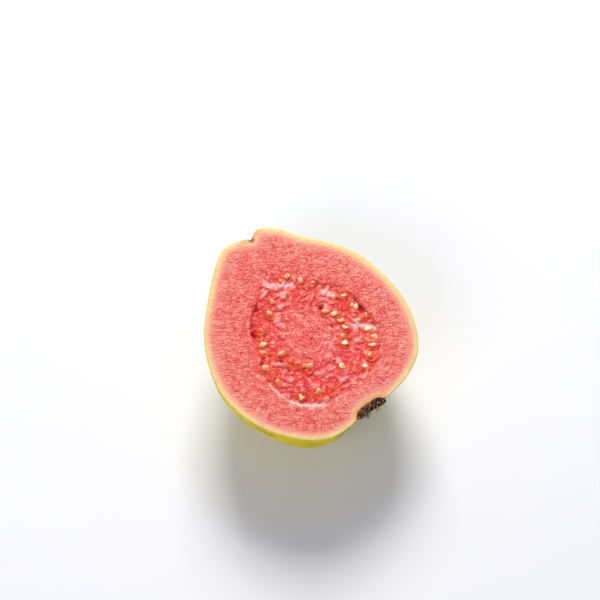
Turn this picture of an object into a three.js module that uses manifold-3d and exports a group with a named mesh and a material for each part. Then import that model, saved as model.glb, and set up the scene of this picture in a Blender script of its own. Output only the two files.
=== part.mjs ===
// Half of a ripe pink guava, cut through its stem and blossom ends, lying on its rounded back
// with the cut face up. Millimetres, +Z up, +X towards the blossom end.
// The origin is on the table, under the middle of the fruit.
import * as THREE from "three";
import { mergeVertices } from "three/addons/utils/BufferGeometryUtils.js";
import Module from "manifold-3d";

const wasm = await Module();
wasm.setup();

// ---- driving dimensions ----
const fruitLength = 85; // stem end to blossom end
const fruitWidth = 77; // across the cut face
const cutHeight = 37.5; // table to cut face
const pressedFlat = 1; // how far the back is pressed in at the resting spot
const blossomDome = 0.5; // how steeply the sections lean in under the face at the blossom end
const stemDome = 0.3; // the same at the stem end
const blossomTilt = 0.5; // how much more the blossom end leans in on its left than in its middle
const leanPower = { blossom: 2.5, stem: 2 }; // how fast the lean dies away from each end
// Where the right side swells out under the face, as shares of the way to the stem and of the width.
const belly = { along: 0.18, reach: 0.09, share: 0.22 };
const halfLength = fruitLength / 2;
const halfWidth = fruitWidth / 2;
const fruitRings = 58;
const fruitSides = 48;
const bedSides = 64;

// ---- the cut outline, as fractions of the half length and half width ----
// Both sides start in the blossom socket and end in the stem dimple.
const leftSide = [
  [0.9, 0.105],
  [0.899, 0.205],
  [0.917, 0.25],
  [0.94, 0.272],
  [0.93, 0.36],
  [0.907, 0.47],
  [0.862, 0.6],
  [0.745, 0.79],
  [0.53, 0.93],
  [0.235, 0.998],
  [-0.075, 0.965],
  [-0.33, 0.88],
  [-0.53, 0.742],
  [-0.72, 0.54],
  [-0.88, 0.41],
  [-0.985, 0.25],
  [-0.978, 0.17],
  [-0.935, 0.107],
];
const rightSide = [
  [0.9, 0.105],
  [0.917, -0.002],
  [0.95, -0.048],
  [0.98, -0.075],
  [0.998, -0.175],
  [0.994, -0.375],
  [0.895, -0.58],
  [0.7, -0.785],
  [0.44, -0.94],
  [0.14, -0.998],
  [-0.16, -0.93],
  [-0.42, -0.795],
  [-0.65, -0.587],
  [-0.86, -0.37],
  [-0.975, -0.21],
  [-0.998, -0.095],
  [-0.972, 0.04],
  [-0.935, 0.107],
];

// ---- the seed bed: an egg-shaped oval in the cut face, narrower towards the stem ----
const bed = { x: 3.1, y: 1.1, halfLength: 28, halfWidth: 22.4, egg: 0.3 };
// Its floor from the middle outwards, as [fraction of the outline, depth where the pulp
// meets its wall, depth where it has shrunk from the wall and left a channel].
const bedFloor = [
  [0, 0.3, 0.3],
  [0.3, 0.3, 0.3],
  [0.55, 0.4, 0.45],
  [0.72, 0.5, 0.6],
  [0.84, 0.55, 0.95],
  [0.92, 0.5, 1.4],
  [0.975, 0.45, 1.35],
  [1, 0.3, 0.6],
];
// The channels, by the angle of their middle from +X and how far they run to each side.
const channels = [
  { at: 88, reach: 48 },
  { at: 235, reach: 30 },
  { at: 315, reach: 42 },
];
const swellFade = 0.18; // the share of the outline over which the swells rise from the wall
// Low swells of the pulp: heading in degrees, wavelength and height.
const swells = [
  { heading: 12, length: 10.5, height: 0.09 },
  { heading: 74, length: 8.2, height: 0.08 },
  { heading: 131, length: 5.4, height: 0.05 },
  { heading: 168, length: 4.1, height: 0.04 },
];

// ---- seeds: rows along arcs of the bed, by fraction of its outline and angle from +X ----
const seed = { length: 3.7, width: 2.6, thickness: 2.1, raised: 0.15 };
const seedRows = [
  { ring: 0.93, from: 76, to: 112, count: 5 },
  { ring: 0.88, from: 22, to: 71, count: 5 },
  { ring: 0.68, from: 2, to: 18, count: 1 },
  { ring: 0.88, from: 122, to: 176, count: 4 },
  { ring: 0.52, from: 36, to: 110, count: 6 },
  { ring: 0.66, from: 192, to: 228, count: 2 },
  { ring: 0.85, from: 240, to: 302, count: 6 },
  { ring: 0.5, from: 272, to: 340, count: 5 },
  { ring: 0.88, from: 318, to: 356, count: 3 },
];
// Ring fraction, share of the spacing along a row, size, and tilt and turn in radians.
const seedSpread = { ring: 0.09, along: 0.5, size: 0.34, tilt: 0.6, turn: 1.5 };

// ---- the blossom end: a socket whose mouth leans a little to the left ----
const mouth = { x: 40.7, y: 4.2, lean: 3.5 };
const gap = 0.3; // calyx to flesh
const lining = [
  // the dried cup, as [distance from its axis, height above the mouth]
  [0, -2.25],
  [4.1, -1.85],
  [5.6, -0.6],
  [6.1, 0.5],
  [5.9, 1],
  [5.3, 0.9],
  [4.6, 0.35],
  [3.2, -0.1],
  [1.2, -0.25],
  [0.9, 0.5],
  [0, 0.6],
];
const sepal = { count: 5, baseWidth: 5.6, tipWidth: 0.7, thickness: 0.8, bow: 0.12 };
const sepalSpine = [
  // from the rim of the cup to the tip, in the same measures
  [5.75, 0.1],
  [5.55, 0.75],
  [4.4, 1.05],
  [2.9, 1.1],
  [1.3, 0.85],
];

const flesh = new THREE.MeshStandardMaterial({
  color: 0xee7a6c,
  roughness: 0.45,
  metalness: 0,
});
const driedBrown = new THREE.MeshStandardMaterial({
  color: 0x4a2c16,
  roughness: 0.85,
  metalness: 0,
});

// A repeatable number from 0 to 1 for each n.
function draw(n) {
  const s = Math.sin(n * 12.9898 + 4.1414) * 43758.5453;
  return s - Math.floor(s);
}

function merged(geometry) {
  const bare = geometry.clone();
  bare.deleteAttribute("normal");
  bare.deleteAttribute("uv");
  return mergeVertices(bare, 1e-4);
}

// A closed geometry as a solid that can be cut and joined.
function solid(geometry) {
  const closed = merged(geometry);
  return new wasm.Manifold(
    new wasm.Mesh({
      numProp: 3,
      vertProperties: closed.attributes.position.array,
      triVerts: new Uint32Array(closed.index.array),
    }),
  );
}

function meshOf(name, shape, material) {
  const { vertProperties, triVerts } = shape.getMesh();
  const geometry = new THREE.BufferGeometry();
  geometry.setAttribute("position", new THREE.BufferAttribute(vertProperties, 3));
  geometry.setIndex(new THREE.BufferAttribute(triVerts, 1));
  geometry.computeVertexNormals();
  const mesh = new THREE.Mesh(geometry, material);
  mesh.name = name;
  return mesh;
}

// Moves each vertex to where move(point, u, v) says.
function mapPoints(geometry, move) {
  const position = geometry.attributes.position;
  const uv = geometry.attributes.uv;
  const point = new THREE.Vector3();
  for (let i = 0; i < position.count; i++) {
    point.fromBufferAttribute(position, i);
    const moved = move(point, uv.getX(i), uv.getY(i));
    position.setXYZ(i, moved.x, moved.y, moved.z);
  }
  return geometry;
}

// A box across the whole fruit between two heights.
function slab(bottom, top) {
  const size = 2 * fruitLength;
  const box = new THREE.BoxGeometry(size, size, top - bottom);
  return solid(box.translate(0, 0, (bottom + top) / 2));
}

// ---- the whole fruit: rings that join the two sides of the outline, round and leaning in at the ends ----
const sideCurve = (points) =>
  new THREE.SplineCurve(
    points.map(([x, y]) => new THREE.Vector2(x * halfLength, y * halfWidth)),
  );
const left = sideCurve(leftSide);
const right = sideCurve(rightSide);
const widestHalf = Math.max(
  ...left.getSpacedPoints(100).map((p, i) => p.distanceTo(right.getPointAt(i / 100)) / 2),
);
const depthShare = (cutHeight + pressedFlat) / widestHalf;

// How far a section leans towards the middle for each millimetre under the face.
// A turn is 0 on the left, a quarter of a circle at the bottom and half a circle on the right.
function leanAt(along, turn) {
  const toBlossom = Math.max(0, 1 - 2 * along) ** leanPower.blossom;
  const toStem = Math.max(0, 2 * along - 1) ** leanPower.stem;
  return stemDome * toStem - blossomDome * toBlossom * (1 + blossomTilt * Math.cos(turn));
}

// How much wider a section is than the outline alone would make it.
function bellyAt(along, turn) {
  const near = Math.exp(-(((along - belly.along) / belly.reach) ** 2));
  return Math.cos(turn) < 0 ? 1 + belly.share * near * Math.abs(Math.sin(turn)) : 1;
}

// The whole fruit, or its skin moved out by a distance.
function fruit(grown = 0) {
  const sphere = new THREE.SphereGeometry(1, fruitSides, fruitRings);
  mapPoints(sphere, (_, around, up) => {
    const along = (1 - Math.cos(Math.PI * (1 - up))) / 2;
    const a = left.getPointAt(along);
    const b = right.getPointAt(along);
    const turn = 2 * Math.PI * around;
    const middle = a.clone().add(b).multiplyScalar(0.5);
    const reach = a.clone().sub(b).multiplyScalar(0.5);
    const height = reach.length() * depthShare * Math.sin(turn);
    const side = Math.cos(turn) * bellyAt(along, turn);
    return new THREE.Vector3(
      middle.x + reach.x * side + leanAt(along, turn) * Math.abs(height),
      middle.y + reach.y * side,
      cutHeight + height,
    );
  });
  const closed = merged(sphere);
  closed.computeVertexNormals();
  const { position, normal } = closed.attributes;
  const step = new THREE.Vector3();
  for (let i = 0; i < position.count; i++) {
    step.fromBufferAttribute(normal, i).multiplyScalar(grown);
    const x = position.getX(i) + step.x;
    const y = position.getY(i) + step.y;
    position.setXYZ(i, x, y, position.getZ(i) + step.z);
  }
  return solid(closed);
}

// ---- the seed bed ----
function bedPoint(fraction, angle) {
  return new THREE.Vector2(
    bed.x + bed.halfLength * fraction * Math.cos(angle),
    bed.y + bed.halfWidth * fraction * Math.sin(angle) * (1 + bed.egg * Math.cos(angle)),
  );
}

function swell(x, y) {
  return swells.reduce((sum, { heading, length, height }) => {
    const turn = THREE.MathUtils.degToRad(heading);
    const along = x * Math.cos(turn) + y * Math.sin(turn);
    return sum + height * Math.sin((2 * Math.PI * along) / length + heading);
  }, 0);
}

// How open the channel along the wall is at an angle, from 0 to 1.
function channelShare(angle) {
  const degrees = THREE.MathUtils.radToDeg(angle);
  const shares = channels.map(({ at, reach }) => {
    const off = THREE.MathUtils.euclideanModulo(degrees - at + 180, 360) - 180;
    return 1 - (off / reach) ** 2;
  });
  return Math.max(0, ...shares);
}

function floorDepth(fraction, angle) {
  const open = channelShare(angle);
  const depths = bedFloor.map(([f, shut, channel]) => [f, THREE.MathUtils.lerp(shut, channel, open)]);
  const outer = 1 + depths.slice(1, -1).filter(([f]) => f < fraction).length;
  const [f0, d0] = depths[outer - 1];
  const [f1, d1] = depths[outer];
  return THREE.MathUtils.mapLinear(fraction, f0, f1, d0, d1);
}

function bedCutter() {
  const lid = 2;
  const wallTop = 1.005;
  const profile = bedFloor.map(([f]) => new THREE.Vector2(f, -1));
  profile.push(new THREE.Vector2(wallTop, 0));
  profile.push(new THREE.Vector2(wallTop, lid));
  profile.push(new THREE.Vector2(0, lid));
  const lathe = new THREE.LatheGeometry(profile, bedSides);
  mapPoints(lathe, (p) => {
    const fraction = Math.hypot(p.x, p.z);
    const angle = Math.atan2(-p.z, p.x);
    const place = bedPoint(fraction, angle);
    const inside = THREE.MathUtils.smoothstep(1 - fraction, 0, swellFade);
    const floor = swell(place.x, place.y) * inside - floorDepth(fraction, angle);
    const height = p.y < 0 ? floor : p.y;
    return new THREE.Vector3(place.x, place.y, cutHeight + height);
  });
  return solid(lathe);
}

// ---- seeds ----
function seedSolids() {
  const made = [];
  seedRows.forEach((row, r) => {
    for (let k = 0; k < row.count; k++) {
      const n = 20 * r + k;
      const share = (k + 0.5 + seedSpread.along * (draw(n) - 0.5)) / row.count;
      const angle = THREE.MathUtils.degToRad(row.from + (row.to - row.from) * share);
      const fraction = row.ring + seedSpread.ring * (draw(n + 500) - 0.5);
      const place = bedPoint(fraction, angle);
      const size = 1 + seedSpread.size * (draw(n + 900) - 0.5);
      const grain = new THREE.OctahedronGeometry(0.5, 2);
      grain.scale(seed.length * size, seed.width * size, seed.thickness * size);
      grain.rotateY(seedSpread.tilt * (draw(n + 1300) - 0.5));
      grain.rotateZ(angle + seedSpread.turn * (draw(n + 1700) - 0.5));
      const floor = cutHeight - floorDepth(fraction, angle) + swell(place.x, place.y);
      made.push(solid(grain.translate(place.x, place.y, floor + seed.raised)));
    }
  });
  return made;
}

function fruitHalf() {
  let half = fruit().subtract(slab(cutHeight, 3 * cutHeight));
  half = half.subtract(slab(-cutHeight, 0));
  half = half.subtract(bedCutter());
  for (const grain of seedSolids()) {
    half = half.add(grain);
  }
  return half;
}

// ---- the dried calyx: a cup in the socket, with sepals folded in over it ----
// Built with the blossom end up and the side that faces down in the fruit towards +X.
// Its sides lean back as those of the socket do.
function leanBack(geometry) {
  const lean = leanAt(0, Math.PI / 2);
  return mapPoints(geometry, (p) => p.clone().setZ(p.z + lean * Math.abs(p.x)));
}

function sepalSolid(turn) {
  const spine = new THREE.SplineCurve(sepalSpine.map(([r, h]) => new THREE.Vector2(r, h)));
  const blade = new THREE.BoxGeometry(1, 1, 1, 4, 1, 8);
  mapPoints(blade, (p) => {
    const along = p.z + 0.5;
    const at = spine.getPoint(along);
    const run = spine.getTangent(along);
    const width = THREE.MathUtils.lerp(sepal.baseWidth, sepal.tipWidth, along ** 1.3);
    const lift = p.y * sepal.thickness;
    const side = p.x * width;
    const bowed = sepal.bow * side * side * (1 - along);
    return new THREE.Vector3(side, at.x + run.y * lift - bowed, at.y - run.x * lift);
  });
  return solid(leanBack(blade.rotateZ(turn)));
}

function calyx() {
  const cup = new THREE.LatheGeometry(
    lining.map(([r, h]) => new THREE.Vector2(r, h)),
    40,
  );
  let dried = solid(leanBack(cup.rotateX(Math.PI / 2)));
  for (let k = 0; k < sepal.count; k++) {
    dried = dried.add(sepalSolid((2 * Math.PI * k) / sepal.count));
  }
  const placed = dried.rotate([0, 90, 0]).rotate([0, 0, mouth.lean]);
  const seated = placed.translate([mouth.x, mouth.y, cutHeight]);
  return seated.subtract(fruit(gap)).subtract(slab(cutHeight, 3 * cutHeight));
}

const guava = new THREE.Group();
guava.name = "guava";
guava.add(meshOf("guava_half", fruitHalf(), flesh));
guava.add(meshOf("calyx", calyx(), driedBrown));

export default guava;
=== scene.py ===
import math

import bmesh
import bpy
from mathutils import Matrix, Vector, kdtree, noise


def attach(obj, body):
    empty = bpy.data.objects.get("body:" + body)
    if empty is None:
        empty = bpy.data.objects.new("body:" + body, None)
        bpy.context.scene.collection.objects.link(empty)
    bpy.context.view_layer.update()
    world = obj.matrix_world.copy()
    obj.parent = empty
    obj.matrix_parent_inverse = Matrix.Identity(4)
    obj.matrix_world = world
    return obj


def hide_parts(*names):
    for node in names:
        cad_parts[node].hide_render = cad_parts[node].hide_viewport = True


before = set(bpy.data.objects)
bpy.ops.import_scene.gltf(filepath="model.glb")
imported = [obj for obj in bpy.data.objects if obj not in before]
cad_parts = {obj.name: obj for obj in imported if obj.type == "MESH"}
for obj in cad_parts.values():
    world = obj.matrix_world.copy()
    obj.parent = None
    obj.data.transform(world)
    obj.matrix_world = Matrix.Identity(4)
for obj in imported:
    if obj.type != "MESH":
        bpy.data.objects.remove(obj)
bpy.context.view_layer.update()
mm = 0.001
up = Vector((0, 0, 1))

# The fruit, in millimetres, with its cut outline in fractions of half its length and half its width.
fruit = {
    "length": 85,
    "width": 77,
    "cutHeight": 37.5,
    "pressedFlat": 1.0,  # the back is pressed in this far where it lies
    "blossomDome": 0.5,  # how steeply the sections lean in under the face at the blossom end
    "stemDome": 0.3,
    "blossomTilt": 0.5,  # how much more the blossom end leans in on its left
    "belly": (0.18, 0.09, 0.22),  # how far along, how wide and how much the right side swells under the face
    "left": [
        (0.9, 0.105), (0.899, 0.205), (0.917, 0.25), (0.94, 0.272), (0.93, 0.36), (0.907, 0.47), (0.862, 0.6),
        (0.745, 0.79), (0.53, 0.93), (0.235, 0.998), (-0.075, 0.965), (-0.33, 0.88), (-0.53, 0.742),
        (-0.72, 0.54), (-0.88, 0.41), (-0.985, 0.25), (-0.978, 0.17), (-0.935, 0.107),
    ],
    "right": [
        (0.9, 0.105), (0.917, -0.002), (0.95, -0.048), (0.98, -0.075), (0.998, -0.175), (0.994, -0.375),
        (0.895, -0.58), (0.7, -0.785), (0.44, -0.94), (0.14, -0.998), (-0.16, -0.93), (-0.42, -0.795),
        (-0.65, -0.587), (-0.86, -0.37), (-0.975, -0.21), (-0.998, -0.095), (-0.972, 0.04), (-0.935, 0.107),
    ],
    "outlineSteps": 1600,  # short steps that the outline's length is measured by
    "faceCells": 244,  # cells along each side of the grid that is spread over the cut face
    "wallRing": 0.74,  # the share of the grid's rings that lies inside the seed bed
    "ringEase": 0.05,  # how much closer the rings stand along the bed's wall
    "skinTurns": 64,  # cells from one rim, round the back, to the other
    "stationEase": 0.35,  # how much closer the skin's rings stand at its two ends
    "bandShift": (0.3, 0.6),  # the middle and the spread of how far the pale band is moved in or out
    "bandWander": 1.7,  # how often it does so on its way round
    "rayUnit": 10,  # millimetres from the bed's middle for one unit of the ray
}

# The seed bed in the cut face: fractions of its outline, angles in degrees from the blossom end.
bed = {
    "x": 3.1,
    "y": 1.1,
    "halfLength": 28,
    "halfWidth": 22.4,
    "egg": 0.3,
    "floor": [  # ring, depth away from the crevices and depth in them
        (0, 0.3, 0.3), (0.3, 0.3, 0.3), (0.55, 0.4, 0.45), (0.72, 0.5, 0.6),
        (0.84, 0.55, 0.95), (0.92, 0.5, 1.4), (0.975, 0.45, 1.35), (1, 0.3, 0.6),
    ],
    "fineFloor": [  # the same floor as the eye sees it: a narrow crevice along the wall
        (0, 0.3, 0.3), (0.3, 0.3, 0.3), (0.55, 0.38, 0.4), (0.72, 0.42, 0.5), (0.84, 0.36, 0.6),
        (0.9, 0.28, 0.85), (0.945, 0.2, 1.35), (0.975, 0.13, 1.45), (0.996, 0.07, 0.95), (1.012, 0.02, 0.06),
        (1.03, 0, 0),
    ],
    "channels": [(88, 48, 1.0), (235, 30, 0.95), (315, 42, 0.75)],  # middle, reach and depth of each crevice
    "inlets": [  # angle, reach and how far the wall is moved out
        (214, 16, -0.1), (256, 10, -0.08), (124, 9, -0.06), (103, 12, 0.045), (338, 13, 0.03),
    ],
    # this way is also the side away from the key light, where the painted glow round the seeds and the
    # painted film on them sit
    "dragAwayFromLight": (0.8, -0.6),  # the way the knife pulled the pulp
    "swells": [  # heading, length and height of each wave of the floor
        (12, 10.5, 0.09), (74, 8.2, 0.08), (131, 5.4, 0.05), (168, 4.1, 0.04),
    ],
    "swellFade": 0.18,
    "pits": [  # angle, ring, radius and depth of each hole left by a pulled seed
        (86, 0.95, 1.6, 1.3), (113, 0.56, 1.2, 1.3), (246, 0.93, 1.2, 0.9), (222, 0.91, 1.3, 0.7),
        (203, 0.86, 1.0, 0.5), (2, 0.11, 0.7, 0.9), (77, 0.39, 0.7, 0.75), (285, 0.6, 0.7, 0.7),
        (273, 0.9, 0.8, 0.6),
    ],
    "strands": [  # pale wet ridges of pulp: half width, rise, then their points
        (1.0, 0.12, [(0.87, 188), (0.8, 178), (0.77, 163), (0.78, 153)]),
        (0.95, 0.12, [(0.69, 70), (0.8, 68), (0.9, 67), (0.96, 65)]),
        (1.1, 0.1, [(0.82, 119), (0.84, 109)]),
        (0.36, 0.08, [(0.97, -70), (0.99, -58), (1.0, -50)]),
        (0.9, 0.12, [(1.0, -46), (1.01, -38), (1.03, -29), (1.025, -21)]),
    ],
    "strandWander": 0.4,  # how far a ridge strays, and the size of its bends
    "strandBends": 1.6,
}

seeds = {
    "length": 3.7,
    "width": 2.6,
    "thickness": 2.1,
    "raised": 0.15,
    "rows": [  # ring, first and last angle, how many, and how far the pulp covers them
        (0.93, 76, 112, 5, 0.2), (0.88, 22, 71, 5, 0.22), (0.68, 2, 18, 1, 0.25),
        (0.88, 122, 176, 4, 0.18), (0.52, 36, 110, 6, 0.35), (0.66, 192, 228, 2, 0.6),
        (0.85, 240, 302, 6, 0.28), (0.5, 272, 340, 5, 0.4), (0.88, 318, 356, 3, 0.35),
    ],
    "coverSpread": 0.9,
    "ringSpread": 0.09,
    "alongSpread": 0.5,
    "sizeSpread": 0.34,
    "tiltSpread": 0.6,
    "turnSpread": 1.5,
    "farGap": 9,  # the gap given where no seed is near
    "nearReach": 5,
    "moreTilt": 1.6,  # the seeds here lean more than the solid's
    "sunk": 0.05,
    "sunkUnderPulp": 0.45,  # how much deeper a covered seed lies
    "taper": 0.32,
    "facet": (0.3, 0.42),  # lowest and highest level of the flat that faces up
    "facetSlope": 0.35,
    "unevenness": 0.36,
    "unevenScale": 2.4,
    # partly real, where no pulp covers a seed, and partly painted light: the top and the side towards the
    # light stay pale, the rest takes a painted glow
    "bareAndLitAbove": 0.5,  # how much of a seed's upper side, and of the side the pulp was dragged off, is bare
    "bareAndLitBehind": 0.42,
    "usualCover": 0.27,
}


# A number from 0 to 1 that is always the same for the same n, so the seeds stand where the solid's do.
def draw(n):
    s = math.sin(n * 12.9898 + 4.1414) * 43758.5453
    return s - math.floor(s)


def lerp(a, b, share):
    return a + (b - a) * share


def smooth(value, low, high):
    t = min(1, max(0, (value - low) / (high - low)))
    return t * t * (3 - 2 * t)


def wave(x, y, size, layer):
    return noise.noise(Vector((x / size, y / size, layer)))


# A point on the smooth curve through a row of points, the kind of curve that the solid's outline has too.
def splinePoint(points, share):
    place = (len(points) - 1) * share
    i = min(int(place), len(points) - 2)
    t = place - i
    p0 = points[max(i - 1, 0)]
    p1 = points[i]
    p2 = points[i + 1]
    p3 = points[min(i + 2, len(points) - 1)]

    def along(a, b, c, d):
        v0 = (c - a) / 2
        v1 = (d - b) / 2
        return (2 * b - 2 * c + v0 + v1) * t ** 3 + (-3 * b + 3 * c - 2 * v0 - v1) * t ** 2 + v0 * t + b

    return Vector((along(p0[0], p1[0], p2[0], p3[0]), along(p0[1], p1[1], p2[1], p3[1])))


def evenPoints(points, shares):
    steps = fruit["outlineSteps"]
    sized = [(x * fruit["length"] / 2, y * fruit["width"] / 2) for x, y in points]
    fine = [splinePoint(sized, i / steps) for i in range(steps + 1)]
    run = [0]
    for a, b in zip(fine, fine[1:]):
        run.append(run[-1] + (b - a).length)
    made = []
    i = 0
    for share in shares:
        goal = share * run[-1]
        while i < steps - 1 and run[i + 1] < goal:
            i += 1
        made.append(fine[i].lerp(fine[i + 1], (goal - run[i]) / (run[i + 1] - run[i])))
    return made


stations = 2 * fruit["faceCells"]
ease = fruit["stationEase"] / (2 * math.pi)
shares = [i / stations - ease * math.sin(2 * math.pi * i / stations) for i in range(stations + 1)]
leftRim = evenPoints(fruit["left"], shares)
rightRim = evenPoints(fruit["right"], shares)
rim = leftRim[:-1] + rightRim[:0:-1]  # once round the face, from the blossom end by way of the left side
widestHalf = max((a - b).length / 2 for a, b in zip(leftRim, rightRim))
depthShare = (fruit["cutHeight"] + fruit["pressedFlat"]) / widestHalf
blossomPole = Vector((*leftRim[0], fruit["cutHeight"]))
stemPole = Vector((*leftRim[-1], fruit["cutHeight"]))
bedCentre = Vector((bed["x"], bed["y"]))

rimTree = kdtree.KDTree(4 * len(rim))
for i, point in enumerate(rim):
    for k in range(4):
        rimTree.insert((*point.lerp(rim[(i + 1) % len(rim)], k / 4), 0), 4 * i + k)
rimTree.balance()


# The seed bed, with its place given as a fraction of its outline and an angle.
def bedPoint(ring, angle):
    across = bed["halfWidth"] * ring * math.sin(angle) * (1 + bed["egg"] * math.cos(angle))
    return Vector((bed["x"] + bed["halfLength"] * ring * math.cos(angle), bed["y"] + across))


def bedPlace(x, y):
    dx = (x - bed["x"]) / bed["halfLength"]
    dy = (y - bed["y"]) / bed["halfWidth"]
    angle = math.atan2(dy, dx)
    for _ in range(8):
        angle = math.atan2(dy / (1 + bed["egg"] * math.cos(angle)), dx)
    return math.hypot(dx, dy / (1 + bed["egg"] * math.cos(angle))), angle


def degreesFrom(angle, at):
    return (math.degrees(angle) - at + 180) % 360 - 180


def channelShare(angle):
    return max(0, *(1 - (degreesFrom(angle, at) / reach) ** 2 for at, reach, _ in bed["channels"]))


def fineChannelShare(angle):
    opened = (depth * (1 - (degreesFrom(angle, at) / reach) ** 2) for at, reach, depth in bed["channels"])
    return max(0, *opened)


def wallShift(angle):
    return sum(rise * math.exp(-(degreesFrom(angle, at) / reach) ** 2) for at, reach, rise in bed["inlets"])


def floorDepth(floor, ring, shareOpen):
    for (f0, shut0, open0), (f1, shut1, open1) in zip(floor, floor[1:]):
        if ring <= f1:
            t = (ring - f0) / (f1 - f0)
            return lerp(lerp(shut0, open0, shareOpen), lerp(shut1, open1, shareOpen), t)
    return 0


def swell(x, y):
    total = 0
    for heading, length, height in bed["swells"]:
        turn = math.radians(heading)
        along = x * math.cos(turn) + y * math.sin(turn)
        total += height * math.sin(2 * math.pi * along / length + heading)
    return total


def seedPlaces():
    made = []
    for r, (ring, start, stop, count, cover) in enumerate(seeds["rows"]):
        for k in range(count):
            n = 20 * r + k
            share = (k + 0.5 + seeds["alongSpread"] * (draw(n) - 0.5)) / count
            angle = math.radians(lerp(start, stop, share))
            at = ring + seeds["ringSpread"] * (draw(n + 500) - 0.5)
            place = bedPoint(at, angle)
            floor = fruit["cutHeight"] - floorDepth(bed["floor"], at, channelShare(angle)) + swell(*place)
            covered = min(1, max(0, cover + seeds["coverSpread"] * (draw(n + 2500) - 0.5)))
            made.append({
                "place": Vector((*place, floor + seeds["raised"])),
                "covered": covered,
                "size": 1 + seeds["sizeSpread"] * (draw(n + 900) - 0.5),
                "tilt": seeds["tiltSpread"] * (draw(n + 1300) - 0.5),
                "turn": angle + seeds["turnSpread"] * (draw(n + 1700) - 0.5),
                "draw": draw(n + 2100),
            })
    return made


seedList = seedPlaces()
seedTree = kdtree.KDTree(len(seedList))
for i, seed in enumerate(seedList):
    seedTree.insert((seed["place"].x, seed["place"].y, 0), i)
seedTree.balance()
pitList = [(bedPoint(ring, math.radians(at)), radius, depth) for at, ring, radius, depth in bed["pits"]]
strandList = [
    (half, rise, [bedPoint(ring, math.radians(at)) for ring, at in row]) for half, rise, row in bed["strands"]
]
dragAwayFromLight = Vector(bed["dragAwayFromLight"])


def nearestSeed(place):
    best = seeds["farGap"]
    covered = 0
    for _, i, _ in seedTree.find_range((*place, 0), seeds["nearReach"]):
        seed = seedList[i]
        away = place - seed["place"].xy
        away.rotate(Matrix.Rotation(-seed["turn"], 2))
        halfLength = seeds["length"] * seed["size"] / 2
        halfWidth = seeds["width"] * seed["size"] / 2
        reach = math.hypot(away.x / halfLength, away.y / halfWidth)
        gap = (reach - 1) * (halfLength + halfWidth) / 2
        if gap < best:
            best = gap
            covered = seed["covered"]
    return best, covered


def strandAt(x, y):
    wander = bed["strandWander"]
    bends = bed["strandBends"]
    place = Vector((x + wander * wave(x, y, bends, 40), y + wander * wave(x, y, bends, 50)))
    best = 0
    height = 0
    for half, rise, points in strandList:
        for a, b in zip(points, points[1:]):
            t = min(1, max(0, (place - a).dot(b - a) / (b - a).length_squared))
            away = (place - a.lerp(b, t)).length / half
            share = math.exp(-away * away)
            if share > best:
                best = share
                height = rise * share
    return best, height


# The low relief of the cut face, in millimetres or, on the bed, in fractions of its outline. Each layer
# number only picks another part of the noise.
relief = {
    "waves": [(0.08, 9, 0), (0.06, 2.4, 4), (0.05, 1.1, 9)],  # height, size and layer
    "rimFall": 0.2,  # how far the edge is rounded off, and over what width
    "rimFallWidth": 0.22,
    "wallBends": [(0.02, 2.4), (0.016, 9)],  # how far and how often the bed's wall strays
    "wallRough": (0.012, 1.3, 60),
    "crevice": (0.85, 0.9, 5),  # how open the crevice is, how much that varies, and how often
    "bedEnd": 1.08,  # beyond this ring the face is plain
    "warp": 1.3,  # how far the lumps are drawn out of shape, and over what size
    "warpSize": 4.5,
    "seedZone": (0.28, 0.5),  # the ring where the lumps start and where they are whole
    "seedZoneEnd": (1.01, 0.95),
    "lumps": [(1.5, 3.4, 2), (0.9, 1.6, 6)],
    "lumpLevel": 0.45,
    "lumpRise": 0.8,
    "grain": (0.07, 0.8, 12),
    "core": (0.3, 0.5),  # the ring where the smooth middle starts to end, and where it has ended
    "swirlTurns": 85,
    "swirlBend": (10, 7, 7),
    "swirlRise": 0.06,
    "puff": (4.0, 15),
    "puffLevel": 0.15,
    "puffRise": 0.4,
    "swirlPale": 0.25,
    "puffPale": 0.8,
    "pitRough": (0.3, 0.9, 5),
    "pitRound": 0.6,
    # the same shift moves the painted glow round each seed to its side away from the light
    "pulled": 0.35,  # how far the pulp is dragged off a seed
    "collar": (0.2, 0.75),  # the rise of the pulp round a bare seed, and what a covered one adds
    "collarVary": (0.8, 1.2),
    "collarPatches": (1.7, 70),
    "collarAt": (0.05, 0.45),  # gap from the seed where the collar is highest, and its width
    "moat": (0.22, 1.2, 0.5),  # depth, gap from the seed and width of the dip round the collar
    "highest": 0.08,  # the knife leaves nothing higher than this inside the wall
    "wall": 0.985,  # the ring that it may cut up to
}


def waves(parts, x, y):
    return sum(height * wave(x, y, size, layer) for height, size, layer in parts)


def hump(value, middle, width):
    return math.exp(-((value - middle) / width) ** 2)


def pitDepth(x, y):
    total = 0
    for place, radius, depth in pitList:
        away = (Vector((x, y)) - place).length / radius + waves([relief["pitRough"]], x, y)
        if away < 1:
            total += depth * (1 - away * away) ** relief["pitRound"]
    return total


# How far the pulp stands up round the nearest seed, and the gap to that seed, measured from a point moved
# along the drag, so the painted glow round the seed lies on its side away from the light.
def collarRise(x, y):
    place = Vector((x, y))
    gap, covered = nearestSeed(place - relief["pulled"] * dragAwayFromLight)
    least, more = relief["collar"]
    level, spread = relief["collarVary"]
    patchy = level + spread * wave(x, y, *relief["collarPatches"])
    rise = (least + more * covered) * patchy * hump(gap, *relief["collarAt"])
    depth, middle, width = relief["moat"]
    return rise - depth * hump(nearestSeed(place)[0], middle, width), gap
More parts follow.
